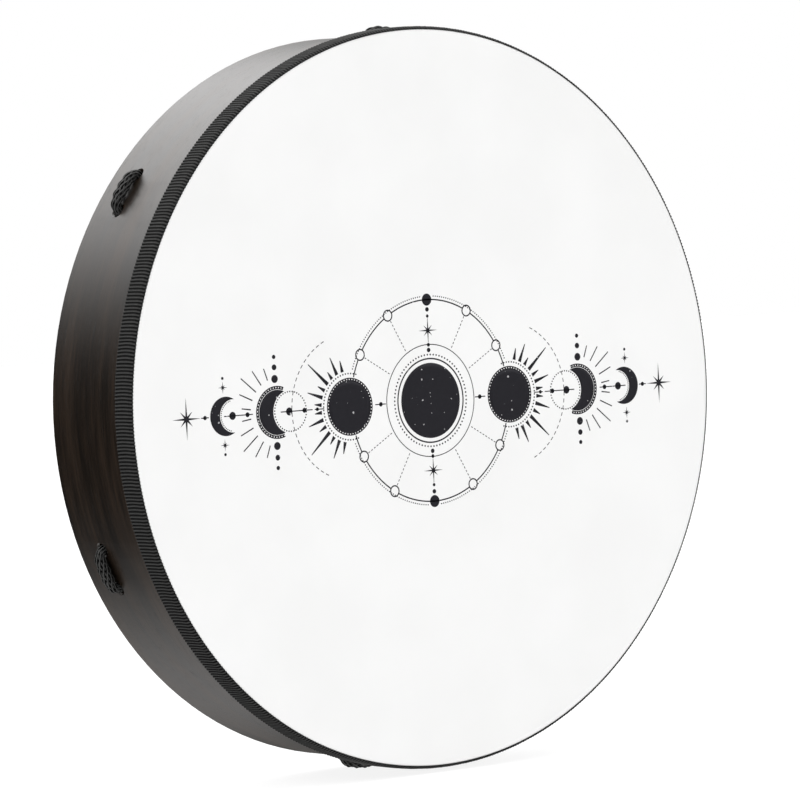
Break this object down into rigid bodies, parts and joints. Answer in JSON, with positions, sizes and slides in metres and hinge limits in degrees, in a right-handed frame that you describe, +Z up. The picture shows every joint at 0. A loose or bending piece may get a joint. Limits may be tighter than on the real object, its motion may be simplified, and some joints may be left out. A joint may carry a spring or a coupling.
{
  "type": "frame drum",
  "caption": "Round hand-held frame drum: film head on a laminated wood shell with a ribbed trim band, and rope hanks laced through the shell to a bound ring grip.",
  "frame": {"origin": "middle of the grip ring, on the drum's axis, in the plane of the lacing holes", "axes": "+Z up, -Y out of the playing face, +Y out of the open back, +X to the right of someone who looks at the playing face"},
  "size_m": [0.4662, 0.0882, 0.4716],
  "materials": {
    "stained_wood": "dark espresso stain under satin lacquer",
    "hoop_fibre": "black lacquered resin-bonded fibre",
    "head_film": "white coated polyester film, fine matt texture",
    "print_ink": "screen-printed charcoal ink, flat",
    "ribbon": "black ribbed grosgrain",
    "rope": "black laid cord, soft multi-strand",
    "twine": "black waxed whipping twine",
    "ring_steel": "bent and welded steel rod"
  },
  "bodies": {
    "root": {"shell_outer_ply": "stained_wood", "shell_core_ply": "stained_wood", "shell_inner_ply": "stained_wood", "head_hoop": "hoop_fibre", "drumhead_film": "head_film", "trim_band": "ribbon", "grip_ring": "ring_steel", "grip_wrap": "twine", "rope_hank_1": "rope", "rope_seizing_1": "twine", "rope_hank_2": "rope", "rope_seizing_2": "twine", "rope_hank_3": "rope", "rope_seizing_3": "twine", "rope_hank_4": "rope", "rope_seizing_4": "twine", "rope_hank_5": "rope", "rope_seizing_5": "twine", "rope_hank_6": "rope", "rope_seizing_6": "twine"}
  },
  "joints": []
}
